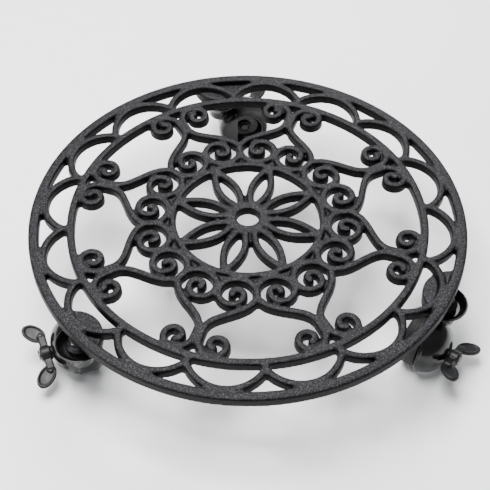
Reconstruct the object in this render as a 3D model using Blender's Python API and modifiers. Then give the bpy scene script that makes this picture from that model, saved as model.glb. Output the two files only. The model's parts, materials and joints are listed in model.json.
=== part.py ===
"""Round cast-iron plant pot caddy on three hooded, braked swivel casters.

Metres, +Z up.  The origin is on the floor, under the middle of the caddy's footprint.
+Y points to the caster at the back, +X to the right.  Each caster is built in its own
frame: the swivel axis at x = y = 0, the floor at z = 0, +X the way the wheel trails and
+Y the way the brake lever faces.
"""
import math

import bmesh
import bpy
from mathutils import Matrix, Vector

# ---------------------------------------------------------------- driving dimensions
PLATE_RADIUS = 0.170
PLATE_THICKNESS = 0.0080
TOTAL_HEIGHT = 0.068
PLATE_CENTRE = Vector((-0.0032, -0.0156, 0.0))
MOTIFS = 8
MOTIF_PHASE = math.radians(27.9)

WHEEL_RADIUS = 0.0205
TRAIL = 0.0205
SWIVEL_RADIUS = 0.960 * PLATE_RADIUS
FIT_GAP = 0.0003

# name, direction from the plate's centre and direction of the trail, in degrees
CASTERS = (("left", 221.8, 112.0), ("right", 335.2, 236.0), ("back", 99.0, 8.0))
LEVER_TILT = math.radians(17.0)

# ---------------------------------------------------------------- the cast plate
OUTER_RING = (0.952, 1.000)
INNER_RING = (0.790, 0.827)
CENTRAL_RING = (0.330, 0.358)
HUB_RING = (0.052, 0.095)
WEB_RING = (0.341, 0.388)
RING_DRAFT = 0.0006
BAR_TOP = 0.0032
BAR_BASE = 0.0058

LUG_CENTRE = 0.985
LUG_REACH = 0.130
LUG_DROP = 0.0055
LUG_THICKNESS = 0.0085

# ---------------------------------------------------------------- heights and the bearing
PLATE_TOP = TOTAL_HEIGHT
PLATE_BOTTOM = PLATE_TOP - PLATE_THICKNESS
LUG_TOP = PLATE_TOP - LUG_DROP
LUG_BOTTOM = LUG_TOP - LUG_THICKNESS
STEM_RADIUS = 0.0040
STEM_REACH = 0.0070
NUT_RADIUS = 0.0070
NUT_HEIGHT = 0.0030
RACE_RADIUS = 0.0098
RACE_HEIGHT = 0.0030
BALL_RADIUS = 0.0013
BALL_CIRCLE = 0.0072
BALL_COUNT = 8
DISH_RADIUS = 0.0175
DISH_RIM = 0.0492
DISH_FLOOR = 0.0443
DISH_UNDER = 0.0430

# ---------------------------------------------------------------- wheel, hood and brake
AXLE_RADIUS = 0.0025
HUB_BORE = AXLE_RADIUS + FIT_GAP
TYRE_INSIDE = 0.0172
WHEEL_WIDTH = 0.0150
WELL_RADIUS = 0.0213
FENDER_RADIUS = 0.0228
FENDER_EDGE = -0.0172
DOME_REACH = 0.0172
DOME_WALL = 0.0016
HOOD_CLEAR = 0.0070
LEVER_SPREAD = 0.0130
LEVER_LINE = 0.0228
EAR_LENGTH = 0.0195
EAR_WIDTH = 0.0126
EAR_THICKNESS = 0.0028

for old in list(bpy.data.objects):
    bpy.data.objects.remove(old, do_unlink=True)


def new_collection(name):
    """Make a collection and link it to the scene."""
    collection = bpy.data.collections.new(name)
    bpy.context.scene.collection.children.link(collection)
    return collection


CADDY = new_collection("plant_pot_caddy")
CUTTERS = new_collection("cutters")
PLATE_PATTERN = new_collection("cutters_joined_into_the_plate")
STEM_HOLES = new_collection("cutters_for_the_stem_holes")


def material(name, colour, roughness, metallic):
    """Make a Principled material of one colour."""
    made = bpy.data.materials.new(name)
    made.use_nodes = True
    shader = made.node_tree.nodes["Principled BSDF"]
    shader.inputs["Base Color"].default_value = (*colour, 1.0)
    shader.inputs["Roughness"].default_value = roughness
    shader.inputs["Metallic"].default_value = metallic
    return made


CAST_IRON = material("powder_coated_cast_iron", (0.055, 0.053, 0.058), 0.65, 0.3)
BLACK_STEEL = material("black_enamelled_steel", (0.012, 0.012, 0.014), 0.22, 0.5)
ZINC = material("zinc_plated_steel", (0.45, 0.45, 0.44), 0.35, 1.0)
BLACK_PLASTIC = material("black_nylon", (0.020, 0.020, 0.022), 0.35, 0.0)
TYRE_RUBBER = material("grey_black_tyre", (0.045, 0.045, 0.048), 0.70, 0.0)


# ---------------------------------------------------------------- modelling helpers
def add_object(name, data, finish, parent=None, collection=CADDY):
    """Link an object with its material and its parent."""
    made = bpy.data.objects.new(name, data)
    collection.objects.link(made)
    if finish:
        made.data.materials.append(finish)
    made.parent = parent
    return made


def empty(name, location, yaw=0.0, parent=None):
    """A guide that carries the pieces of one moving body."""
    made = bpy.data.objects.new(name, None)
    CADDY.objects.link(made)
    made.location = location
    made.rotation_euler = (0.0, 0.0, yaw)
    made.parent = parent
    return made


def as_cutter(made, collection=CUTTERS):
    """Move an object among the cutters, out of renders and out of the build."""
    for holder in list(made.users_collection):
        holder.objects.unlink(made)
    collection.objects.link(made)
    made.hide_render = True
    made.display_type = "WIRE"
    return made


def mesh_from_curve(curve_object, name):
    """Turn a curve object into a closed mesh with welded caps, and remove the curve."""
    bpy.context.view_layer.update()
    depsgraph = bpy.context.evaluated_depsgraph_get()
    mesh = bpy.data.meshes.new_from_object(curve_object.evaluated_get(depsgraph))
    mesh.transform(curve_object.matrix_world)
    bpy.data.objects.remove(curve_object, do_unlink=True)
    work = bmesh.new()
    work.from_mesh(mesh)
    bmesh.ops.remove_doubles(work, verts=work.verts, dist=1e-6)
    bmesh.ops.recalc_face_normals(work, faces=work.faces)
    work.to_mesh(mesh)
    work.free()
    mesh.name = name
    mesh.materials.clear()
    return mesh


def turned_profile(name, profile, closed):
    """A mesh of edges in the XZ plane, for a Screw modifier."""
    mesh = bpy.data.meshes.new(name)
    work = bmesh.new()
    points = [work.verts.new((radius, 0.0, height)) for radius, height in profile]
    for first, second in zip(points, points[1:]):
        work.edges.new((first, second))
    if closed:
        work.edges.new((points[-1], points[0]))
    work.to_mesh(mesh)
    work.free()
    return mesh


def turned(name, profile, finish, parent=None, closed=False, steps=24):
    """A turned piece: the profile swept round its object's own Z axis."""
    made = add_object(name, turned_profile(name, profile, closed), finish, parent)
    screw = made.modifiers.new("turn", "SCREW")
    screw.steps = steps
    screw.render_steps = steps
    screw.use_merge_vertices = True
    screw.merge_threshold = 1e-5
    screw.use_smooth_shade = True
    return made


def boolean(target, operand, operation="UNION"):
    """Add an exact Boolean to the target, with an object or a whole collection."""
    modifier = target.modifiers.new(operation.lower(), "BOOLEAN")
    modifier.operation = operation
    modifier.solver = "EXACT"
    if isinstance(operand, bpy.types.Collection):
        modifier.operand_type = "COLLECTION"
        modifier.collection = operand
    else:
        modifier.object = operand


def ring_profile(inner, outer, low, high, draft=RING_DRAFT):
    """A ring's section: the top is narrower than the base by the draft on each side."""
    return [(inner + draft, high), (outer - draft, high), (outer, low), (inner, low)]


def bar(name, path, low, high, base=BAR_BASE, top=BAR_TOP):
    """A cast bar along a path: a trapezoid section, wide at the base."""
    mesh = bpy.data.meshes.new(name)
    work = bmesh.new()
    stations = []
    for index, point in enumerate(path):
        ahead = path[min(index + 1, len(path) - 1)] - path[max(index - 1, 0)]
        side = Vector((-ahead.y, ahead.x)).normalized()
        corners = ((base, low), (top, high), (-top, high), (-base, low))
        section = [point + side * width / 2 for width, _ in corners]
        stations.append([
            work.verts.new((*spot, height)) for spot, (_, height) in zip(section, corners)
        ])
    for near, far in zip(stations, stations[1:]):
        for corner in range(4):
            after = (corner + 1) % 4
            work.faces.new((near[corner], near[after], far[after], far[corner]))
    work.faces.new(stations[0])
    work.faces.new(reversed(stations[-1]))
    bmesh.ops.recalc_face_normals(work, faces=work.faces)
    work.to_mesh(mesh)
    work.free()
    return mesh


# ---------------------------------------------------------------- the plate's pattern
def spiral(centre, start, sweep, radius_at, steps):
    """Points round a centre, with the radius a function of the share of the sweep."""
    points = []
    for step in range(steps + 1):
        share = step / steps
        angle = start + sweep * share
        reach = radius_at(share)
        points.append(Vector((math.cos(angle), math.sin(angle))) * reach + centre)
    return points


def ease(value, start, stop):
    """Smooth step from 0 to 1."""
    share = min(max((value - start) / (stop - start), 0.0), 1.0)
    return share * share * (3 - 2 * share)


def scroll_path():
    """One S-scroll, right of its motif's axis, as shares of the plate's radius."""
    upper = spiral(
        Vector((0.092, 0.725)), math.radians(165), math.radians(370),
        lambda share: 0.030 + 0.048 * share ** 1.8, 9,
    )
    upper = spiral(
        Vector((0.092, 0.725)), math.radians(95), math.radians(35),
        lambda share: 0.019 + 0.007 * share, 1,
    ) + upper
    shank = [Vector(spot) for spot in (
        (0.0125, 0.680), (0.0150, 0.645), (0.0350, 0.608), (0.0750, 0.571),
        (0.1220, 0.533), (0.1600, 0.492),
    )]
    lower = spiral(
        Vector((0.092, 0.447)), 0.0, math.radians(-495),
        lambda share: 0.088 - 0.058 * ease(share, 0.30, 0.74), 11,
    )
    tail = spiral(
        Vector((0.092, 0.447)), math.radians(-530), math.radians(-35),
        lambda share: 0.026 - 0.007 * share, 1,
    )
    return upper + shank + lower + tail


def scallop_path():
    """One arch between two neighbouring feet on the inner ring."""
    half = math.pi / (2 * MOTIFS)
    chord = 0.838 * math.sin(half)
    base = 0.838 * math.cos(half)
    rise = 0.944 - base
    points = []
    for step in range(9):
        along = -math.cos(math.pi * step / 8)
        height = rise * (1 - along * along) ** 0.67
        points.append(Vector((along * chord, base + height)))
    foot = Vector((0.0, -0.022))
    return [points[0] + foot, *points, points[-1] + foot]


def petal_path():
    """One side of a petal, from the hub to its tip on the central ring."""
    points = []
    for step in range(6):
        share = step / 5
        width = 0.010 + 0.036 * math.sin(math.pi * share ** 0.9) - 0.008 * share
        points.append(Vector((width, 0.086 + 0.252 * share)))
    return points


def placed(path, angle, mirrored=False):
    """The path turned to an angle of the plate, at its real size."""
    side = -1 if mirrored else 1
    turn = Matrix.Rotation(angle - math.pi / 2, 2)
    return [turn @ Vector((point.x * side, point.y)) * PLATE_RADIUS for point in path]


def lug_outline(angle):
    """A rounded lobe under the scallops, cut off just inside the outer ring's edge."""
    limit = 0.990
    meet = (limit ** 2 + LUG_CENTRE ** 2 - LUG_REACH ** 2) / (2 * limit * LUG_CENTRE)
    spread = math.acos(meet)
    corner = Vector((math.cos(spread), math.sin(spread))) * limit
    lobe_start = math.atan2(corner.y, corner.x - LUG_CENTRE)
    outline = []
    for step in range(13):
        turn = lobe_start + (2 * math.pi - 2 * lobe_start) * step / 12
        spot = Vector((math.cos(turn), math.sin(turn))) * LUG_REACH
        outline.append(spot + Vector((LUG_CENTRE, 0)))
    for step in range(1, 6):
        turn = -spread + 2 * spread * step / 6
        outline.append(Vector((math.cos(turn), math.sin(turn))) * limit)
    rotate = Matrix.Rotation(angle, 2)
    return [rotate @ point * PLATE_RADIUS for point in outline]


def outline_solid(name, outline, low, high):
    """A flat outline given its thickness."""
    curve = bpy.data.curves.new(name, "CURVE")
    curve.dimensions = "2D"
    curve.fill_mode = "BOTH"
    curve.extrude = (high - low) / 2
    spline = curve.splines.new("POLY")
    spline.points.add(len(outline) - 1)
    for point, spot in zip(spline.points, outline):
        point.co = (spot.x, spot.y, 0.0, 1.0)
    spline.use_cyclic_u = True
    made = add_object(name, curve, None)
    made.location = (0.0, 0.0, (low + high) / 2)
    return mesh_from_curve(made, name)


def build_plate():
    """The plate is one casting: rings, scrolls, scallops, petals and three lugs."""
    centre = empty("plate_centre", PLATE_CENTRE)
    top = PLATE_TOP
    low = PLATE_BOTTOM

    def ring(name, band, high, bottom, steps):
        inner, outer = (share * PLATE_RADIUS for share in band)
        profile = ring_profile(inner, outer, bottom, high)
        return turned(name, profile, CAST_IRON, centre, closed=True, steps=steps)

    plate = ring("cast_plate", OUTER_RING, top, low, 64)
    rings = (
        ("inner_ring", INNER_RING, top - 0.0001, low + 0.0001, 56),
        ("central_ring", CENTRAL_RING, top - 0.0002, low + 0.0002, 36),
        ("hub_ring", HUB_RING, top - 0.0003, low + 0.0003, 20),
        ("web_ring", WEB_RING, top - 0.0032, low + 0.0013, 40),
    )
    for name, band, high, bottom, steps in rings:
        as_cutter(ring(name, band, high, bottom, steps), PLATE_PATTERN)

    def add_bar(name, path, high, bottom):
        piece = add_object(name, bar(name, path, bottom, high), None, centre)
        as_cutter(piece, PLATE_PATTERN)

    for motif in range(MOTIFS):
        axis = MOTIF_PHASE + 2 * math.pi * motif / MOTIFS
        half_pitch = math.pi / MOTIFS
        right = placed(scroll_path(), axis)
        left = placed(scroll_path(), axis, mirrored=True)
        add_bar(f"scroll_right_{motif}", right, top - 0.0006, low + 0.0004)
        add_bar(f"scroll_left_{motif}", left, top - 0.0007, low + 0.0005)
        for side, high, bottom in ((-1, 0.0004, 0.0006), (1, 0.0005, 0.0007)):
            arch = placed(scallop_path(), axis + side * half_pitch / 2)
            add_bar(f"scallop_{motif}_{side}", arch, top - high, low + bottom)
            petal = placed(petal_path(), axis, mirrored=side < 0)
            add_bar(f"petal_{motif}_{side}", petal, top - high - 0.0003, low + bottom + 0.0002)

    for name, direction, _ in CASTERS:
        outline = lug_outline(math.radians(direction))
        mesh = outline_solid(f"lug_{name}", outline, LUG_BOTTOM, LUG_TOP)
        as_cutter(add_object(f"lug_{name}", mesh, None, centre), PLATE_PATTERN)
        spot = Vector((math.cos(math.radians(direction)), math.sin(math.radians(direction))))
        profile = [
            (0.0, LUG_BOTTOM + STEM_REACH),
            (STEM_RADIUS + FIT_GAP, LUG_BOTTOM + STEM_REACH),
            (STEM_RADIUS + FIT_GAP, LUG_BOTTOM - 0.002),
            (0.0, LUG_BOTTOM - 0.002),
        ]
        hole = turned(f"stem_hole_{name}", profile, None, centre, steps=16)
        hole.location = (*(spot * SWIVEL_RADIUS), 0.0)
        as_cutter(hole, STEM_HOLES)

    boolean(plate, PLATE_PATTERN)
    boolean(plate, STEM_HOLES, "DIFFERENCE")


build_plate()


# ---------------------------------------------------------------- the casters
def cut_box(name, low, high, parent):
    """A box between two corners, as a cutter."""
    mesh = bpy.data.meshes.new(name)
    work = bmesh.new()
    bmesh.ops.create_cube(work, size=1.0)
    size = Vector(high) - Vector(low)
    middle = (Vector(high) + Vector(low)) / 2
    bmesh.ops.transform(work, matrix=Matrix.Diagonal((*size, 1)), verts=work.verts)
    bmesh.ops.translate(work, vec=middle, verts=work.verts)
    work.to_mesh(mesh)
    work.free()
    return as_cutter(add_object(name, mesh, None, parent))


def along_axle(made, height=WHEEL_RADIUS):
    """Lay a turned piece on the axle's line: its own +Z then points to -Y."""
    made.location = (TRAIL, 0.0, height)
    made.rotation_euler = (math.pi / 2, 0.0, 0.0)
    return made


def half_dome(name, reach, radius, parent):
    """The outer or the inner form of the hood's side dome, a flattened sphere."""
    mesh = bpy.data.meshes.new(name)
    work = bmesh.new()
    bmesh.ops.create_uvsphere(work, u_segments=16, v_segments=9, radius=1.0)
    squash = Matrix.Diagonal((radius, reach, radius, 1))
    bmesh.ops.transform(work, matrix=squash, verts=work.verts)
    work.to_mesh(mesh)
    work.free()
    made = add_object(name, mesh, None, parent)
    made.location = (TRAIL, 0.0018, WHEEL_RADIUS)
    return made


def build_hood(name, swivel):
    """The hood: a bearing dish on a neck, a fender over the wheel and a side dome."""
    added = new_collection(f"cutters_joined_into_the_hood_{name}")
    removed = new_collection(f"cutters_for_the_hood_{name}")
    disc = [
        (0.0, -FENDER_EDGE), (FENDER_RADIUS - 0.0035, -FENDER_EDGE),
        (FENDER_RADIUS - 0.0014, -FENDER_EDGE - 0.0020),
        (FENDER_RADIUS, -FENDER_EDGE - 0.0054), (FENDER_RADIUS, -0.0040), (0.0, -0.0040),
    ]
    hood = along_axle(turned(f"hood_{name}", disc, BLACK_PLASTIC, swivel, steps=28))
    as_cutter(half_dome(f"dome_{name}", DOME_REACH, FENDER_RADIUS - 0.0009, swivel), added)
    neck = [
        (0.0, DISH_RIM), (DISH_RADIUS, DISH_RIM), (0.0158, 0.0450), (0.0125, DISH_UNDER),
        (0.0105, 0.0390), (0.0095, 0.0310), (0.0, 0.0310),
    ]
    as_cutter(turned(f"neck_{name}", neck, None, swivel, steps=20), added)
    boolean(hood, added)

    well = [
        (0.0, 0.0157), (WELL_RADIUS - 0.0022, 0.0157), (WELL_RADIUS - 0.0009, 0.0141),
        (WELL_RADIUS, 0.0113), (WELL_RADIUS, -0.0015), (0.0, -0.0015),
    ]
    along_axle(as_cutter(turned(f"well_{name}", well, None, swivel, steps=28), removed))
    space = half_dome(
        f"dome_space_{name}", DOME_REACH - DOME_WALL, WELL_RADIUS - 0.0016, swivel)
    as_cutter(space, removed)
    bowl = [
        (0.0, DISH_RIM + 0.002), (0.0170, DISH_RIM + 0.002), (0.0166, DISH_RIM - 0.0004),
        (0.0150, 0.0459), (0.0122, DISH_FLOOR), (STEM_RADIUS + FIT_GAP, DISH_FLOOR),
        (STEM_RADIUS + FIT_GAP, 0.0424), (0.0062, 0.0424), (0.0062, 0.0300), (0.0, 0.0300),
    ]
    bowl_cut = as_cutter(turned(f"bowl_{name}", bowl, None, swivel, steps=20), removed)
    bowl_cut.rotation_euler = (0.0, 0.0, 0.05)
    sleeve = [(0.0, -0.0100), (0.0056, -0.0100), (0.0056, -0.0200), (0.0, -0.0200)]
    along_axle(as_cutter(turned(f"sleeve_hole_{name}", sleeve, None, swivel, steps=12), removed))
    behind = cut_box(
        f"open_behind_{name}", (TRAIL - 0.0070, -0.030, -0.010), (0.060, 0.0012, 0.0436), swivel)
    as_cutter(behind, removed)
    under = cut_box(
        f"open_below_{name}", (-0.030, -0.030, -0.010), (0.060, 0.040, HOOD_CLEAR), swivel)
    as_cutter(under, removed)
    boolean(hood, removed, "DIFFERENCE")


def hex_nut(name, parent):
    """The jam nut that locks the stem against the lug."""
    mesh = bpy.data.meshes.new(name)
    work = bmesh.new()
    bmesh.ops.create_cone(
        work, cap_ends=True, segments=6, radius1=NUT_RADIUS, radius2=NUT_RADIUS, depth=NUT_HEIGHT)
    work.to_mesh(mesh)
    work.free()
    nut = add_object(name, mesh, ZINC, parent)
    nut.location = (0.0, 0.0, LUG_BOTTOM - FIT_GAP - NUT_HEIGHT / 2)
    bore = [
        (0.0, 0.060), (STEM_RADIUS + FIT_GAP, 0.060), (STEM_RADIUS + FIT_GAP, 0.040), (0.0, 0.040),
    ]
    boolean(nut, as_cutter(turned(f"{name}_bore", bore, None, parent, steps=12)), "DIFFERENCE")


def build_bearing(name, caster, swivel):
    """Stem, jam nut and upper race stay with the plate; the balls roll in the dish."""
    stem = [
        (0.0, LUG_BOTTOM + STEM_REACH - FIT_GAP), (STEM_RADIUS - 0.0006, 0.0607),
        (STEM_RADIUS, 0.0600), (STEM_RADIUS, 0.0421), (0.0056, 0.0421), (0.0052, 0.0408),
        (0.0, 0.0404),
    ]
    turned(f"stem_{name}", stem, ZINC, caster, steps=12)
    hex_nut(f"jam_nut_{name}", caster)
    cap_top = LUG_BOTTOM - NUT_HEIGHT - 2 * FIT_GAP
    cap_low = cap_top - RACE_HEIGHT
    cap = [
        (STEM_RADIUS + FIT_GAP, cap_top), (0.0072, cap_top), (RACE_RADIUS, cap_low + 0.0008),
        (RACE_RADIUS, cap_low), (STEM_RADIUS + FIT_GAP, cap_low),
    ]
    turned(f"race_cap_{name}", cap, BLACK_STEEL, caster, closed=True, steps=20)

    middle = DISH_FLOOR + BALL_RADIUS + 0.0002
    mesh = bpy.data.meshes.new(f"balls_{name}")
    work = bmesh.new()
    for ball in range(BALL_COUNT):
        angle = 2 * math.pi * ball / BALL_COUNT
        spot = Vector((math.cos(angle), math.sin(angle), 0.0)) * BALL_CIRCLE
        place = Matrix.Translation(spot + Vector((0.0, 0.0, middle)))
        bmesh.ops.create_uvsphere(
            work, u_segments=6, v_segments=4, radius=BALL_RADIUS, matrix=place)
    work.to_mesh(mesh)
    work.free()
    cage = [
        (BALL_CIRCLE - 0.0007, middle + 0.0004), (BALL_CIRCLE + 0.0007, middle + 0.0004),
        (BALL_CIRCLE + 0.0007, middle - 0.0004), (BALL_CIRCLE - 0.0007, middle - 0.0004),
    ]
    ring = turned(f"ball_ring_{name}", cage, ZINC, swivel, closed=True, steps=16)
    boolean(ring, as_cutter(add_object(f"balls_{name}", mesh, None, swivel)))


def build_wheel(name, swivel):
    """A dished wheel with its tyre and cap, spinning on the axle."""
    wheel = empty(f"wheel_axis_{name}", (TRAIL, 0.0, WHEEL_RADIUS), parent=swivel)

    def on_wheel(piece, profile, finish, closed, steps):
        made = turned(f"{piece}_{name}", profile, finish, wheel, closed=closed, steps=steps)
        made.rotation_euler = (math.pi / 2, 0.0, 0.0)

    core = [
        (HUB_BORE, 0.0090), (0.0050, 0.0090), (0.0058, 0.0066), (0.0130, 0.0078),
        (0.0152, 0.0138), (TYRE_INSIDE - FIT_GAP, 0.0138), (TYRE_INSIDE - FIT_GAP, 0.0002),
        (0.0146, 0.0002), (0.0136, 0.0040), (0.0058, 0.0040), (0.0052, -0.0003),
        (HUB_BORE, -0.0003),
    ]
    tyre = [
        (TYRE_INSIDE, 0.0140), (WHEEL_RADIUS - 0.0019, WHEEL_WIDTH),
        (WHEEL_RADIUS - 0.0006, 0.0136), (WHEEL_RADIUS, 0.0105), (WHEEL_RADIUS, 0.0045),
        (WHEEL_RADIUS - 0.0009, 0.0008), (TYRE_INSIDE, 0.0002),
    ]
    cap = [(0.0, 0.0110), (0.0030, 0.0107), (0.0044, 0.0093), (0.0, 0.0093)]
    on_wheel("wheel", core, BLACK_PLASTIC, True, 20)
    on_wheel("tyre", tyre, TYRE_RUBBER, True, 28)
    on_wheel("hub_cap", cap, BLACK_PLASTIC, False, 12)
    axle = [
        (0.0, 0.0090), (AXLE_RADIUS, 0.0087), (AXLE_RADIUS, -0.0276), (0.0042, -0.0276),
        (0.0036, -0.0288), (0.0, -0.0288),
    ]
    along_axle(turned(f"axle_{name}", axle, ZINC, swivel, steps=12))


def ear_outline(side):
    """A flat oval ear, reaching out and to one side from the end of the lever's bar."""
    heading = Vector((side * math.sin(math.pi / 4), math.cos(math.pi / 4)))
    across = Vector((-heading.y, heading.x))
    middle = Vector((side * LEVER_SPREAD, LEVER_LINE)) + heading * (EAR_LENGTH / 2 - 0.003)
    outline = []
    for step in range(12):
        turn = 2 * math.pi * step / 12
        outline.append(
            middle + heading * (math.cos(turn) * EAR_LENGTH / 2)
            + across * (math.sin(turn) * EAR_WIDTH / 2))
    return outline


def build_brake(name, swivel):
    """A butterfly lever on the axle's end turns a cam that pushes a plate at the wheel."""
    lever = empty(f"lever_axis_{name}", (TRAIL, 0.0, WHEEL_RADIUS), parent=swivel)
    lever.rotation_euler = (0.0, -LEVER_TILT, 0.0)

    hub = [
        (HUB_BORE, -0.0098), (0.0050, -0.0098), (0.0050, -0.0194), (0.0058, -0.0202),
        (0.0058, -0.0262), (0.0050, -0.0272), (HUB_BORE, -0.0272),
    ]
    handle = turned(f"brake_lever_{name}", hub, BLACK_PLASTIC, lever, closed=True, steps=12)
    handle.rotation_euler = (math.pi / 2, 0.0, 0.0)
    for side in (-1, 1):
        start = 0.0050 * side
        stop = (LEVER_SPREAD + 0.0015) * side
        bar_low = (min(start, stop), LEVER_LINE - 0.0032, -0.0028)
        bar_high = (max(start, stop), LEVER_LINE + 0.0032, 0.0028)
        boolean(handle, cut_box(f"lever_bar_{name}_{side}", bar_low, bar_high, lever))
        mesh = outline_solid(
            f"ear_{name}_{side}", ear_outline(side), -EAR_THICKNESS / 2, EAR_THICKNESS / 2)
        boolean(handle, as_cutter(add_object(f"ear_{name}_{side}", mesh, None, lever)))

    cam = [
        (HUB_BORE, -0.0056), (0.0075, -0.0056), (0.0080, -0.0070), (0.0080, -0.0095),
        (HUB_BORE, -0.0095),
    ]
    brake_cam = turned(f"brake_cam_{name}", cam, ZINC, lever, closed=True, steps=12)
    brake_cam.rotation_euler = (math.pi / 2, 0.0, 0.0)
    plate = [
        (HUB_BORE, -0.0026), (0.0090, -0.0026), (0.0090, -0.0040), (0.0065, -0.0053),
        (HUB_BORE, -0.0053),
    ]
    along_axle(turned(f"brake_plate_{name}", plate, ZINC, swivel, closed=True, steps=12))


def build_caster(name, direction, trail_heading):
    """One whole caster, at its place under the plate."""
    heading = math.radians(direction)
    foot = Vector((math.cos(heading), math.sin(heading), 0.0)) * SWIVEL_RADIUS
    caster = empty(f"caster_{name}", foot + PLATE_CENTRE)
    swivel = empty(
        f"swivel_axis_{name}", (0.0, 0.0, 0.0), math.radians(trail_heading), parent=caster)
    build_bearing(name, caster, swivel)
    build_hood(name, swivel)
    build_wheel(name, swivel)
    build_brake(name, swivel)


for caster_name, caster_direction, caster_trail in CASTERS:
    build_caster(caster_name, caster_direction, caster_trail)
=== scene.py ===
"""Looks of the plant pot caddy: a cast scrollwork plate on three hooded casters."""

import json
import math

import bmesh
import bpy
from mathutils import Matrix, Vector


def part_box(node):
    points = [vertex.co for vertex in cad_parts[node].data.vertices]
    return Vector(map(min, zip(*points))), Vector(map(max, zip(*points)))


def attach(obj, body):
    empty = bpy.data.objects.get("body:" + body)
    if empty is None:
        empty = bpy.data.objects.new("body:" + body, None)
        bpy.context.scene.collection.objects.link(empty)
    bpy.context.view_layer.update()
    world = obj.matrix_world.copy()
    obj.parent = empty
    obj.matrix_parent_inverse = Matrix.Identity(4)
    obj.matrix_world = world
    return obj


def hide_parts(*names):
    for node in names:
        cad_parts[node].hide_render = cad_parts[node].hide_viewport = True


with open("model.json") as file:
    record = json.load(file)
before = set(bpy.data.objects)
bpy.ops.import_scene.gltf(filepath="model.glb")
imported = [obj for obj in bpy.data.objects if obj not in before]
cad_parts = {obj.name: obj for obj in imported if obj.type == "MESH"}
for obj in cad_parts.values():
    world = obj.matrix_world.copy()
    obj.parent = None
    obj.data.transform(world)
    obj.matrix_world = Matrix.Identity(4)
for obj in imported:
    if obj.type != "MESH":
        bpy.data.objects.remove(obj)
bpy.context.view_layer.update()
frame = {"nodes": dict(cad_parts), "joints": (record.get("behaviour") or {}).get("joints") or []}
JOINTS = {joint["name"]: joint for joint in frame["joints"]}
CASTERS = ("left", "right", "back")

# ---------------------------------------------------------------- sizes shared with the CAD
PLATE_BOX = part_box("cast_plate")
CENTRE = (Vector(PLATE_BOX[0]) + Vector(PLATE_BOX[1])) / 2
RADIUS = 0.170
TOP = 0.068
LOW = 0.060
# rings and scroll eyes, as shares of the plate's radius
OUTER_RING = (0.952, 1.000)
INNER_RING = (0.790, 0.827)
CENTRAL_RING = (0.330, 0.358)
HUB_RING = (0.052, 0.095)
WEB_RING = (0.341, 0.388)
UPPER_EYE = Vector((0.092, 0.725))
LOWER_EYE = Vector((0.092, 0.447))
LUG_TOP = 0.0625
LUG_LOW = 0.0540
MOTIFS = 8
PHASE = math.radians(27.9)
TRAIL = 0.0205
AXLE_HEIGHT = 0.0205
WHEEL = 0.0205
TYRE_INSIDE = 0.0172
AXLE = 0.0025
BORE = 0.0028
STEM = 0.0040
GAP = 0.0003
NUT_RADIUS = 0.0070
NUT_HEIGHT = 0.0030
RACE_RADIUS = 0.0098
RACE_HEIGHT = 0.0030
RIM = 0.0492
FLOOR = 0.0443
FENDER = 0.0228
FENDER_SIDE = 0.0172
DOME_REACH = 0.0172
DOME_OFFSET = 0.0018
WELL = 0.0213
HOOD_CLEAR = 0.0070
LEVER_LINE = 0.0228
LEVER_SPREAD = 0.0130
EAR_LENGTH = 0.0195
EAR_WIDTH = 0.0126
TILT = math.radians(17.0)
ON_AXLE = Matrix.Translation((TRAIL, 0.0, AXLE_HEIGHT)) @ Matrix.Rotation(math.pi / 2, 4, "X")
ON_LEVER = Matrix.Translation((TRAIL, 0.0, AXLE_HEIGHT)) @ Matrix.Rotation(-TILT, 4, "Y")
PLATE_VOXEL = 0.00095
HOOD_VOXEL = 0.00045
LEVER_VOXEL = 0.0004
SHARP_ANGLE = math.radians(35)

# ---------------------------------------------------------------- the studio
WORLD_STRENGTH = 0.36
# name, place, side of the square, watts; each one faces the origin
LAMPS = (
    ("back_box", (0.15, 1.00, 1.10), 0.7, 24.0),
    ("overhead", (-0.30, 0.05, 1.35), 0.8, 52.0),
    ("left_box", (-1.0, -0.45, 0.55), 0.40, 7.0),
)
CAMERA_PLACE = (-0.0032, -0.59806, 0.69608)
CAMERA_TURN = (0.721719, -0.004801, 0.009029)
CAMERA_LENS = 80.866
CAMERA_SENSOR = 36.0


# ---------------------------------------------------------------- materials
def material(name, color, roughness, metallic=0.0, coat=0.0, specular=0.5):
    """A Principled material and the node tree it lives in."""
    made = bpy.data.materials.new(name)
    made.use_nodes = True
    shader = made.node_tree.nodes["Principled BSDF"]
    shader.inputs["Base Color"].default_value = (*color, 1.0)
    shader.inputs["Roughness"].default_value = roughness
    shader.inputs["Metallic"].default_value = metallic
    shader.inputs["Coat Weight"].default_value = coat
    shader.inputs["Coat Roughness"].default_value = 0.08
    shader.inputs["Specular IOR Level"].default_value = specular
    return made, made.node_tree, shader


def noise(tree, scale, detail=4.0, rough=0.55, stretch=None):
    """A noise pattern in the object's own coordinates."""
    place = tree.nodes.new("ShaderNodeTexCoord")
    texture = tree.nodes.new("ShaderNodeTexNoise")
    texture.inputs["Scale"].default_value = scale
    texture.inputs["Detail"].default_value = detail
    texture.inputs["Roughness"].default_value = rough
    if stretch is None:
        tree.links.new(place.outputs["Object"], texture.inputs["Vector"])
    else:
        mapping = tree.nodes.new("ShaderNodeMapping")
        mapping.inputs["Scale"].default_value = stretch
        tree.links.new(place.outputs["Object"], mapping.inputs["Vector"])
        tree.links.new(mapping.outputs["Vector"], texture.inputs["Vector"])
    return texture.outputs["Fac"]


def ramp(tree, value, stops):
    """A colour ramp over a value; stops are (position, colour)."""
    node = tree.nodes.new("ShaderNodeValToRGB")
    elements = node.color_ramp.elements
    while len(elements) < len(stops):
        elements.new(0.5)
    for element, (position, color) in zip(elements, stops):
        element.position = position
        element.color = (*color, 1.0)
    tree.links.new(value, node.inputs["Fac"])
    return node.outputs["Color"]


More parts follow.
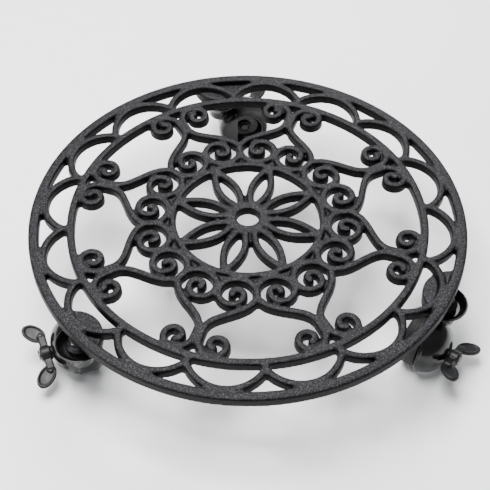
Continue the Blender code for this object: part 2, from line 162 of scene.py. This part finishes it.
def spread(tree, value, low, high):
    """Map a 0.3 to 0.7 pattern onto a range."""
    node = tree.nodes.new("ShaderNodeMapRange")
    node.inputs["From Min"].default_value = 0.3
    node.inputs["From Max"].default_value = 0.7
    node.inputs["To Min"].default_value = low
    node.inputs["To Max"].default_value = high
    tree.links.new(value, node.inputs["Value"])
    return node.outputs["Result"]


def mix(tree, factor, first, second, blend="MIX"):
    """Mix two colours."""
    node = tree.nodes.new("ShaderNodeMix")
    node.data_type = "RGBA"
    node.blend_type = blend
    if isinstance(factor, float):
        node.inputs["Factor"].default_value = factor
    else:
        tree.links.new(factor, node.inputs["Factor"])
    tree.links.new(first, node.inputs["A"])
    tree.links.new(second, node.inputs["B"])
    return node.outputs["Result"]


def bump(tree, shader, value, strength, distance, after=None):
    """Raise the surface by a pattern, on top of an earlier bump."""
    node = tree.nodes.new("ShaderNodeBump")
    node.inputs["Strength"].default_value = strength
    node.inputs["Distance"].default_value = distance
    tree.links.new(value, node.inputs["Height"])
    if after is not None:
        tree.links.new(after, node.inputs["Normal"])
    tree.links.new(node.outputs["Normal"], shader.inputs["Normal"])
    return node.outputs["Normal"]


def cast_iron_material():
    """Powder-coated cast iron: a pebbled skin over soft lumps, with painted shade that makes the
    side faces darker than the upper faces.
    """
    made, tree, shader = material(
        "powder_coated_cast_iron", (0.01, 0.01, 0.01), 0.5, specular=0.10)
    grain = noise(tree, 1050.0, 3.0, 0.75)
    blotch = noise(tree, 55.0, 3.0)
    speckle = ramp(tree, grain, (
        (0.38, (0.0010, 0.0010, 0.0012)), (0.51, (0.0065, 0.0062, 0.0072)),
        (0.66, (0.060, 0.056, 0.064)),
    ))
    shade = ramp(tree, blotch, ((0.3, (0.80, 0.80, 0.81)), (0.7, (1.0, 1.0, 1.0))))
    worn = mix(tree, 1.0, speckle, shade, "MULTIPLY")
    # painted shade: the colour drops to a tenth on steep and downward faces (object normal Z below
    # 0.45) and stays full on upward faces, standing in for the tops catching more light
    split = tree.nodes.new("ShaderNodeSeparateXYZ")
    tree.links.new(tree.nodes.new("ShaderNodeTexCoord").outputs["Normal"], split.inputs["Vector"])
    painted_side_shade = ramp(tree, split.outputs["Z"], ((0.45, (0.10, 0.10, 0.10)), (0.97, (1.0, 1.0, 1.0))))
    tree.links.new(mix(tree, 1.0, worn, painted_side_shade, "MULTIPLY"), shader.inputs["Base Color"])
    tree.links.new(spread(tree, grain, 0.36, 0.58), shader.inputs["Roughness"])
    lumps = bump(tree, shader, noise(tree, 240.0, 2.0), 0.35, 0.0004)
    bump(tree, shader, grain, 0.8, 0.0003, lumps)
    return made


def plastic_material(name, color, roughness, coat):
    """Moulded plastic: a faint orange peel, dust and rub marks in the gloss."""
    made, tree, shader = material(name, color, roughness, coat=coat, specular=0.22)
    dust = noise(tree, 120.0, 6.0, 0.65)
    light = tuple(channel * 2.2 + 0.002 for channel in color)
    stops = ((0.45, color), (0.75, light))
    tree.links.new(ramp(tree, dust, stops), shader.inputs["Base Color"])
    tree.links.new(spread(tree, dust, roughness * 0.8, roughness * 1.5), shader.inputs["Roughness"])
    bump(tree, shader, noise(tree, 700.0, 2.0), 0.12, 0.0001)
    return made


def rubber_material():
    """Grey-black tyre rubber: matte, dusty, with a fine ground texture."""
    made, tree, shader = material("tyre_rubber_ground", (0.02, 0.02, 0.02), 0.7, specular=0.3)
    dust = noise(tree, 160.0, 6.0, 0.7)
    stops = ((0.35, (0.009, 0.009, 0.010)), (0.75, (0.040, 0.039, 0.038)))
    tree.links.new(ramp(tree, dust, stops), shader.inputs["Base Color"])
    tree.links.new(spread(tree, dust, 0.55, 0.8), shader.inputs["Roughness"])
    bump(tree, shader, noise(tree, 1300.0, 3.0, 0.7), 0.4, 0.00015)
    return made


def steel_material(name, dark, light, low, high):
    """Plated or blackened steel: turned lines, stains and a worn sheen."""
    made, tree, shader = material(name, light, 0.35, metallic=0.9)
    stain = noise(tree, 260.0, 5.0, 0.6)
    tree.links.new(ramp(tree, stain, ((0.35, dark), (0.7, light))), shader.inputs["Base Color"])
    tree.links.new(spread(tree, stain, low, high), shader.inputs["Roughness"])
    lines = noise(tree, 300.0, 2.0, 0.5, (1.0, 1.0, 12.0))
    bump(tree, shader, lines, 0.15, 0.00008)
    return made


LOOKS = {
    "cast_iron": cast_iron_material(),
    "hood_plastic": plastic_material("hood_plastic_gloss", (0.0030, 0.0030, 0.0034), 0.17, 0.20),
    "wheel_plastic": plastic_material("wheel_plastic_gloss", (0.0035, 0.0035, 0.0040), 0.24, 0.15),
    "lever_plastic": plastic_material("lever_plastic_satin", (0.0045, 0.0045, 0.0050), 0.38, 0.03),
    "tyre_rubber": rubber_material(),
    "plated_steel": steel_material(
        "zinc_plated_steel", (0.09, 0.088, 0.085), (0.26, 0.26, 0.265), 0.28, 0.5),
    "dark_steel": steel_material(
        "blackened_steel", (0.010, 0.010, 0.011), (0.030, 0.030, 0.032), 0.35, 0.6),
}


# ---------------------------------------------------------------- mesh tools
def rounded(profile, radius, closed=False):
    """The profile with its corners rounded, leaving the ends of an open one alone."""
    count = len(profile)
    result = []
    for index, spot in enumerate(profile):
        if not closed and index in (0, count - 1):
            result.append(spot)
            continue
        here = Vector(spot)
        before = Vector(profile[index - 1]) - here
        after = Vector(profile[(index + 1) % count]) - here
        reach = min(radius, before.length * 0.45, after.length * 0.45)
        first = here + before.normalized() * reach
        last = here + after.normalized() * reach
        for step in range(4):
            share = step / 3
            bend = first * (1 - share) ** 2 + here * 2 * share * (1 - share) + last * share ** 2
            result.append((bend.x, bend.y))
    return result


def turned(profile, steps=72, closed=False, radius=0.0, place=None):
    """A bmesh of a profile of (radius, height) swept round Z."""
    points = rounded(profile, radius, closed) if radius else list(profile)
    work = bmesh.new()
    verts = [work.verts.new((max(reach, 0.0), 0.0, height)) for reach, height in points]
    edges = [work.edges.new(pair) for pair in zip(verts, verts[1:])]
    if closed:
        edges.append(work.edges.new((verts[-1], verts[0])))
    bmesh.ops.spin(
        work, geom=verts + edges, axis=(0, 0, 1), cent=(0, 0, 0),
        angle=2 * math.pi, steps=steps, use_merge=True)
    bmesh.ops.remove_doubles(work, verts=work.verts, dist=1e-6)
    bmesh.ops.recalc_face_normals(work, faces=work.faces)
    if place is not None:
        work.transform(place)
    return work


def swept(path, section):
    """A bmesh of a section of (across, height) swept along a flat path."""
    work = bmesh.new()
    stations = []
    for index, point in enumerate(path):
        ahead = path[min(index + 1, len(path) - 1)] - path[max(index - 1, 0)]
        side = Vector((-ahead.y, ahead.x)).normalized()
        stations.append([
            work.verts.new((*(point + side * across), height)) for across, height in section
        ])
    size = len(section)
    for near, far in zip(stations, stations[1:]):
        for corner in range(size):
            after = (corner + 1) % size
            work.faces.new((near[corner], near[after], far[after], far[corner]))
    work.faces.new(stations[0])
    work.faces.new(reversed(stations[-1]))
    bmesh.ops.recalc_face_normals(work, faces=work.faces)
    return work


def slab(outline, low, high):
    """A bmesh of a flat outline between two heights."""
    work = bmesh.new()
    base = work.faces.new([work.verts.new((spot.x, spot.y, low)) for spot in outline])
    made = bmesh.ops.extrude_face_region(work, geom=[base])
    lifted = [item for item in made["geom"] if isinstance(item, bmesh.types.BMVert)]
    bmesh.ops.translate(work, vec=(0.0, 0.0, high - low), verts=lifted)
    bmesh.ops.recalc_face_normals(work, faces=work.faces)
    return work


def block(low, high):
    """A bmesh of a box between two corners."""
    work = bmesh.new()
    bmesh.ops.create_cube(work, size=1.0)
    low, high = Vector(low), Vector(high)
    work.transform(Matrix.Translation((low + high) / 2) @ Matrix.Diagonal((*(high - low), 1)))
    return work


def ball(centre, radii, segments=48):
    """A bmesh of an ellipsoid."""
    work = bmesh.new()
    bmesh.ops.create_uvsphere(work, u_segments=segments, v_segments=segments // 2, radius=1.0)
    work.transform(Matrix.Translation(centre) @ Matrix.Diagonal((*radii, 1)))
    return work


def joined(parts):
    """One mesh from several bmeshes, which are freed."""
    mesh = bpy.data.meshes.new("joined")
    whole = bmesh.new()
    for part in parts:
        part.to_mesh(mesh)
        part.free()
        whole.from_mesh(mesh)
    whole.to_mesh(mesh)
    whole.free()
    return mesh


def scratch(mesh):
    """A temporary object around a mesh."""
    made = bpy.data.objects.new("scratch", mesh)
    bpy.context.scene.collection.objects.link(made)
    return made


def fused(parts, cuts, voxel, smoothing):
    """Fuse closed bmeshes, cut others out of them, and soften every edge."""
    body = scratch(joined(parts))
    merge = body.modifiers.new("merge", "REMESH")
    merge.mode = "VOXEL"
    merge.voxel_size = voxel
    tools = []
    for cut in cuts:
        tool = scratch(joined([cut]))
        tools.append(tool)
        carve = body.modifiers.new("carve", "BOOLEAN")
        carve.operation = "DIFFERENCE"
        carve.object = tool
    if cuts:
        again = body.modifiers.new("again", "REMESH")
        again.mode = "VOXEL"
        again.voxel_size = voxel
    soften = body.modifiers.new("soften", "SMOOTH")
    soften.factor = 0.5
    soften.iterations = smoothing
    bpy.context.view_layer.update()
    evaluated = body.evaluated_get(bpy.context.evaluated_depsgraph_get())
    mesh = bpy.data.meshes.new_from_object(evaluated)
    for used in [body, *tools]:
        bpy.data.objects.remove(used, do_unlink=True)
    return mesh


def piece(name, mesh, node, body, slot, place=None):
    """Show a mesh in place of a CAD node, riding on the node's body."""
    if isinstance(mesh, bmesh.types.BMesh):
        mesh = joined([mesh])
    own = mesh.copy()
    if place is not None:
        own.transform(place)
    own.materials.clear()
    own.materials.append(LOOKS[slot])
    own.shade_smooth()
    made = bpy.data.objects.new(name, own)
    bpy.context.scene.collection.objects.link(made)
    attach(made, body)
    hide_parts(node)
    return made


# ---------------------------------------------------------------- the cast plate
def spiral(centre, start, sweep, radius_at, steps):
    """Points round a centre, with the radius a function of the share of the sweep."""
    points = []
    for step in range(steps + 1):
        share = step / steps
        angle = start + sweep * share
        points.append(centre + Vector((math.cos(angle), math.sin(angle))) * radius_at(share))
    return points


def ease(value, start, stop):
    """Smooth step from 0 to 1."""
    share = min(max((value - start) / (stop - start), 0.0), 1.0)
    return share * share * (3 - 2 * share)


def curve_through(points, steps):
    """A Catmull-Rom curve through points."""
    ends = [points[0] * 2 - points[1], *points, points[-1] * 2 - points[-2]]
    path = []
    for before, start, stop, after in zip(ends, ends[1:], ends[2:], ends[3:]):
        for step in range(steps):
            t = step / steps
            bend = (2 * before - 5 * start + 4 * stop - after) * t * t
            twist = (3 * start - before - 3 * stop + after) * t ** 3
            path.append((2 * start + (stop - before) * t + bend + twist) / 2)
    return path + [points[-1]]


def scroll_path():
    """One S-scroll, right of its motif's axis, as shares of the plate's radius."""
    upper = spiral(
        UPPER_EYE, math.radians(165), math.radians(370),
        lambda share: 0.030 + 0.048 * share ** 1.8, 36)
    upper = spiral(
        UPPER_EYE, math.radians(112), math.radians(46),
        lambda share: 0.022 + 0.007 * share, 5) + upper
    shank = [Vector(spot) for spot in (
        (0.0125, 0.680), (0.0150, 0.645), (0.0350, 0.608), (0.0750, 0.571),
        (0.1220, 0.533), (0.1600, 0.492),
    )]
    lower = spiral(
        LOWER_EYE, 0.0, math.radians(-495),
        lambda share: 0.088 - 0.058 * ease(share, 0.30, 0.74), 44)
    lower += spiral(
        LOWER_EYE, math.radians(-503), math.radians(-46),
        lambda share: 0.029 - 0.008 * share, 5)
    middle = curve_through([upper[-1], *shank, lower[0]], 5)
    return upper[:-1] + middle + lower[1:]


def scallop_path():
    """One arch between two neighbouring feet on the inner ring."""
    half = math.pi / (2 * MOTIFS)
    chord = 0.838 * math.sin(half)
    base = 0.838 * math.cos(half)
    rise = 0.944 - base
    points = []
    for step in range(29):
        along = -math.cos(math.pi * step / 28)
        points.append(Vector((along * chord, base + rise * (1 - along * along) ** 0.67)))
    foot = Vector((0.0, -0.022))
    return [points[0] + foot, *points, points[-1] + foot]


def petal_path():
    """One side of a petal, from the hub to its tip on the central ring."""
    points = []
    for step in range(21):
        share = step / 20
        width = 0.010 + 0.036 * math.sin(math.pi * share ** 0.9) - 0.008 * share
        points.append(Vector((width, 0.086 + 0.252 * share)))
    return points


def placed(path, angle, side=1):
    """The path turned to an angle of the plate, at its real size."""
    turn = Matrix.Rotation(angle - math.pi / 2, 2)
    return [turn @ Vector((point.x * side, point.y)) * RADIUS for point in path]


def bar_section(low, high):
    """A cast bar's section: leaning sides and a rounded top."""
    return (
        (0.0031, low), (0.0028, high - 0.0020), (0.0024, high - 0.0006), (0.0017, high),
        (-0.0017, high), (-0.0024, high - 0.0006), (-0.0028, high - 0.0020), (-0.0031, low),
    )


def ring(inner, outer, low, high, crown=0.0006):
    """A cast ring with a crowned top."""
    inner, outer = inner * RADIUS, outer * RADIUS
    lead = (outer - inner) * 0.16
    shoulder, brow = high - crown * 2.2, high - crown * 0.6
    profile = [
        (inner, low), (inner + 0.0002, shoulder), (inner + lead * 0.4, brow),
        (inner + lead, high), (outer - lead, high), (outer - lead * 0.4, brow),
        (outer - 0.0002, shoulder), (outer, low),
    ]
    return turned(profile, 220, closed=True)


def lug_outline(angle):
    """A rounded lobe under the scallops, cut off just inside the outer ring's edge."""
    limit, centre, reach = 0.990, 0.985, 0.130
    spread_angle = math.acos((limit ** 2 + centre ** 2 - reach ** 2) / (2 * limit * centre))
    corner = Vector((math.cos(spread_angle), math.sin(spread_angle))) * limit
    start = math.atan2(corner.y, corner.x - centre)
    outline = []
    for step in range(49):
        turn = start + (2 * math.pi - 2 * start) * step / 48
        outline.append(Vector((centre + math.cos(turn) * reach, math.sin(turn) * reach)))
    for step in range(1, 16):
        turn = -spread_angle + 2 * spread_angle * step / 16
        outline.append(Vector((math.cos(turn), math.sin(turn))) * limit)
    rotate = Matrix.Rotation(angle, 2)
    return [rotate @ point * RADIUS for point in outline]


def build_plate():
    """The whole casting, fused from its bars and rings so that they meet in fillets."""
    parts = [
        ring(*OUTER_RING, LOW, TOP + 0.0003),
        ring(*INNER_RING, LOW, TOP + 0.0002),
        ring(*CENTRAL_RING, LOW, TOP + 0.0001),
        ring(*HUB_RING, LOW, TOP),
        ring(*WEB_RING, LOW + 0.0012, TOP - 0.0030, 0.0004),
    ]
    section = bar_section(LOW + 0.0002, TOP + 0.0001)
    bulb = [
        (0.0, TOP), (0.0022, TOP - 0.0003), (0.0030, TOP - 0.0016),
        (0.0033, LOW + 0.0004), (0.0, LOW + 0.0004),
    ]
    for motif in range(MOTIFS):
        axis = PHASE + 2 * math.pi * motif / MOTIFS
        for side in (-1, 1):
            scroll = placed(scroll_path(), axis, side)
            parts.append(swept(scroll, section))
            for end in (scroll[0], scroll[-1]):
                parts.append(turned(bulb, 24, place=Matrix.Translation((end.x, end.y, 0.0))))
            parts.append(swept(placed(petal_path(), axis, side), section))
            arch = placed(scallop_path(), axis + side * math.pi / MOTIFS / 2)
            parts.append(swept(arch, section))
    for name in CASTERS:
        foot = Vector(JOINTS[f"swivel_turn_{name}"]["pos_m"]) - CENTRE
        parts.append(slab(lug_outline(math.atan2(foot.y, foot.x)), LUG_LOW, LUG_TOP))
    mesh = fused(parts, [], PLATE_VOXEL, 2)
    shift = Matrix.Translation((CENTRE.x, CENTRE.y, 0.0))
    piece("plate_casting", mesh, "cast_plate", "frame", "cast_iron", shift)


# ---------------------------------------------------------------- caster pieces, in their frame
def hood_mesh():
    """The hood: a bearing dish on a neck, a fender over the wheel and a side dome."""
    middle = (TRAIL, DOME_OFFSET, AXLE_HEIGHT)
    dome = ball(middle, (FENDER - 0.0009, DOME_REACH, FENDER - 0.0009), 64)
    fender = turned([
        (0.0, FENDER_SIDE), (FENDER - 0.0035, FENDER_SIDE), (FENDER - 0.0014, 0.0152),
        (FENDER, 0.0118), (FENDER, -0.0036), (0.0, -0.0036),
    ], 96, radius=0.0010, place=ON_AXLE)
    neck = turned([
        (0.0, RIM), (0.0175, RIM), (0.0176, RIM - 0.0012), (0.0164, RIM - 0.0022),
        (0.0156, 0.0450), (0.0125, 0.0432), (0.0108, 0.0390), (0.0098, 0.0310), (0.0, 0.0310),
    ], 96)
    well = turned([
        (0.0, 0.0157), (WELL - 0.0022, 0.0157), (WELL - 0.0009, 0.0141), (WELL, 0.0113),
        (WELL, -0.0015), (0.0, -0.0015),
    ], 96, place=ON_AXLE)
    space = ball(middle, (WELL - 0.0016, 0.0156, WELL - 0.0016), 48)
    bowl = turned([
        (0.0, RIM + 0.002), (0.0167, RIM + 0.002), (0.0163, RIM - 0.0003), (0.0151, 0.0472),
        (0.0143, 0.0458), (0.0124, FLOOR), (STEM + 0.0006, FLOOR), (STEM + 0.0006, 0.0424),
        (0.0062, 0.0424), (0.0062, 0.0300), (0.0, 0.0300),
    ], 96)
    sleeve = turned([(0.0, -0.0100), (0.0056, -0.0100), (0.0056, -0.0200), (0.0, -0.0200)],
                    48, place=ON_AXLE)
    behind = block((TRAIL - 0.0070, -0.030, -0.010), (0.060, 0.0012, 0.0436))
    under = block((-0.030, -0.030, -0.010), (0.060, 0.040, HOOD_CLEAR))
    cuts = [well, space, bowl, sleeve, behind, under]
    return fused([dome, fender, neck], cuts, HOOD_VOXEL, 3)


def lever_mesh():
    """The butterfly lever: a hub, a cross bar and two rimmed oval ears on short necks."""
    parts = [turned([
        (BORE, -0.0098), (0.0050, -0.0098), (0.0050, -0.0194), (0.0058, -0.0202),
        (0.0058, -0.0262), (0.0050, -0.0272), (BORE, -0.0272),
    ], 48, closed=True, place=Matrix.Rotation(math.pi / 2, 4, "X"))]
    for side in (-1, 1):
        heading = Vector((side * math.sin(math.pi / 4), math.cos(math.pi / 4)))
        across = Vector((-heading.y, heading.x))
        start = Vector((side * LEVER_SPREAD, LEVER_LINE))
        middle = start + heading * (EAR_LENGTH / 2 - 0.003)
        parts.append(swept(
            [Vector((side * 0.0045, LEVER_LINE)), Vector((side * 0.0085, LEVER_LINE)), start],
            ((0.0032, -0.0027), (0.0030, 0.0020), (0.0022, 0.0028), (-0.0022, 0.0028),
             (-0.0030, 0.0020), (-0.0032, -0.0027))))
        turn = Matrix((
            (heading.x, across.x, 0.0, middle.x), (heading.y, across.y, 0.0, middle.y),
            (0.0, 0.0, 1.0, 0.0), (0.0, 0.0, 0.0, 1.0)))
        stretch = turn @ Matrix.Diagonal((EAR_LENGTH / 2, EAR_WIDTH / 2, 1.0, 1.0))
        parts.append(turned([
            (0.0, 0.0007), (0.70, 0.0009), (0.80, 0.0016), (0.92, 0.0017), (1.0, 0.0009),
            (1.0, -0.0009), (0.92, -0.0014), (0.0, -0.0014),
        ], 64, place=stretch))
        rib = [start - heading * 0.0015, start + heading * 0.0030]
        parts.append(swept(rib, (
            (0.0030, -0.0014), (0.0018, 0.0022), (-0.0018, 0.0022), (-0.0030, -0.0014))))
    return fused(parts, [], LEVER_VOXEL, 2)


def hex_nut_mesh():
    """The jam nut: chamfered corners and a bore."""
    top, low = LUG_LOW - GAP, LUG_LOW - GAP - NUT_HEIGHT
    outline = [
        Vector((math.cos(corner * math.pi / 3), math.sin(corner * math.pi / 3))) * NUT_RADIUS
        for corner in range(6)
    ]
    nut = scratch(joined([slab(outline, low, top)]))
    bore = scratch(joined([turned(
        [(0.0, top + 0.001), (STEM + GAP, top + 0.001), (STEM + GAP, low - 0.001),
         (0.0, low - 0.001)], 48)]))
    cone = scratch(joined([turned(
        [(0.0, top), (0.0064, top), (0.0071, top - 0.0005), (0.0071, low + 0.0005),
         (0.0064, low), (0.0, low)], 72)]))
    for other, operation in ((cone, "INTERSECT"), (bore, "DIFFERENCE")):
        carve = nut.modifiers.new("carve", "BOOLEAN")
        carve.operation = operation
        carve.object = other
    bpy.context.view_layer.update()
    evaluated = nut.evaluated_get(bpy.context.evaluated_depsgraph_get())
    mesh = bpy.data.meshes.new_from_object(evaluated)
    for used in (nut, bore, cone):
        bpy.data.objects.remove(used, do_unlink=True)
    return mesh


def turned_meshes():
    """The caster's turned pieces: node, body, slot and mesh of each."""
    thread = [(0.0, 0.0607), (STEM - 0.0008, 0.0607)]
    for turn in range(24):
        height = 0.0600 - 0.00070 * turn
        thread += [(STEM, height), (STEM - 0.0004, height - 0.00035)]
    thread += [(STEM, 0.0421), (0.0056, 0.0421), (0.0052, 0.0408), (0.0, 0.0404)]
    cap_top = LUG_LOW - NUT_HEIGHT - 2 * GAP
    cap_low = cap_top - RACE_HEIGHT
    cap = [
        (STEM + GAP, cap_top), (0.0072, cap_top), (RACE_RADIUS, cap_top - 0.0022),
        (RACE_RADIUS, cap_low), (STEM + GAP, cap_low),
    ]
    core = [
        (BORE, 0.0090), (0.0050, 0.0090), (0.0058, 0.0066), (0.0100, 0.0066),
        (0.0126, 0.0078), (0.0152, 0.0138), (0.0169, 0.0138), (0.0169, 0.0002),
        (0.0146, 0.0002), (0.0136, 0.0040), (0.0058, 0.0040), (0.0052, -0.0003),
        (BORE, -0.0003),
    ]
    tread = [(TYRE_INSIDE, 0.0140), (0.0186, 0.0150), (0.0199, 0.0136), (WHEEL, 0.0112)]
    for groove in (0.0098, 0.0078, 0.0058):
        tread += [
            (WHEEL, groove + 0.0005), (0.0201, groove + 0.0002), (0.0201, groove - 0.0002),
            (WHEEL, groove - 0.0005),
        ]
    tread += [(WHEEL, 0.0045), (0.0196, 0.0008), (TYRE_INSIDE, 0.0002)]
    hub_cap = [(0.0, 0.0110), (0.0030, 0.0107), (0.0044, 0.0093), (0.0, 0.0093)]
    axle = [
        (0.0, 0.0090), (AXLE, 0.0087), (AXLE, -0.0276), (0.0042, -0.0276),
        (0.0036, -0.0288), (0.0, -0.0288),
    ]
    return (
        ("stem", "frame", "plated_steel", turned(thread, 48)),
        ("race_cap", "frame", "dark_steel", turned(cap, 64, True, 0.0005)),
        ("wheel", "roller", "wheel_plastic", turned(core, 96, True, 0.0006, ON_AXLE)),
        ("tyre", "roller", "tyre_rubber", turned(tread, 96, True, 0.0002, ON_AXLE)),
        ("hub_cap", "roller", "wheel_plastic", turned(hub_cap, 48, False, 0.0005, ON_AXLE)),
        ("axle", "swivel", "plated_steel", turned(axle, 48, False, 0.0004, ON_AXLE)),
    )


def build_casters():
    """Every caster's shown pieces, placed from its joints."""
    shapes = [(node, body, slot, joined([work])) for node, body, slot, work in turned_meshes()]
    shapes.append(("hood", "swivel", "hood_plastic", hood_mesh()))
    shapes.append(("jam_nut", "frame", "plated_steel", hex_nut_mesh()))
    lever = lever_mesh()
    for name in CASTERS:
        foot = Vector(JOINTS[f"swivel_turn_{name}"]["pos_m"])
        out = Vector(JOINTS[f"wheel_spin_{name}"]["axis"])
        trail = out.cross(Vector((0.0, 0.0, 1.0)))
        place = Matrix((
            (trail.x, out.x, 0.0, foot.x), (trail.y, out.y, 0.0, foot.y),
            (0.0, 0.0, 1.0, 0.0), (0.0, 0.0, 0.0, 1.0)))
        for node, body, slot, mesh in shapes:
            rides = body if body == "frame" else f"{body}_{name}"
            made = piece(f"fine_{node}_{name}", mesh, f"{node}_{name}", rides, slot, place)
            if node in ("jam_nut", "stem"):
                made.data.set_sharp_from_angle(angle=SHARP_ANGLE)
        piece(f"fine_lever_{name}", lever, f"brake_lever_{name}", f"pedal_{name}",
              "lever_plastic", place @ ON_LEVER)


def finish_inner_nodes():
    """The bearing and brake pieces inside keep their CAD shape and get a real finish."""
    for node in ("ball_ring", "brake_cam", "brake_plate"):
        for name in CASTERS:
            for holder in frame["nodes"][f"{node}_{name}"].material_slots:
                holder.material = LOOKS["plated_steel"]


# ---------------------------------------------------------------- studio
def build_studio():
    """A plain pale floor, soft light and the camera."""
    floor_mesh = bpy.data.meshes.new("floor")
    work = bmesh.new()
    bmesh.ops.create_grid(work, x_segments=8, y_segments=8, size=4.0)
    work.to_mesh(floor_mesh)
    work.free()
    floor_look, tree, shader = material("pale_floor", (0.86, 0.86, 0.87), 0.75)
    stops = ((0.3, (0.84, 0.845, 0.855)), (0.7, (0.88, 0.88, 0.885)))
    tree.links.new(ramp(tree, noise(tree, 3.0), stops), shader.inputs["Base Color"])
    floor_mesh.materials.append(floor_look)
    floor = bpy.data.objects.new("floor", floor_mesh)
    bpy.context.scene.collection.objects.link(floor)

    world = bpy.data.worlds.new("studio")
    bpy.context.scene.world = world
    world.use_nodes = True
    sky = world.node_tree.nodes["Background"]
    sky.inputs["Color"].default_value = (0.95, 0.97, 1.0, 1.0)
    sky.inputs["Strength"].default_value = WORLD_STRENGTH
    for name, spot, size, power in LAMPS:
        light = bpy.data.lights.new(name, "AREA")
        light.size = size
        light.energy = power
        lamp = bpy.data.objects.new(name, light)
        lamp.location = spot
        lamp.rotation_euler = (-Vector(spot)).to_track_quat("-Z", "Y").to_euler()
        bpy.context.scene.collection.objects.link(lamp)

    camera = bpy.data.objects.new("camera", bpy.data.cameras.new("camera"))
    camera.data.lens = CAMERA_LENS
    camera.data.sensor_width = CAMERA_SENSOR
    camera.data.clip_start = 0.01
    camera.location = CAMERA_PLACE
    camera.rotation_euler = CAMERA_TURN
    bpy.context.scene.collection.objects.link(camera)
    bpy.context.scene.camera = camera


build_plate()
build_casters()
finish_inner_nodes()
build_studio()
bpy.context.view_layer.update()
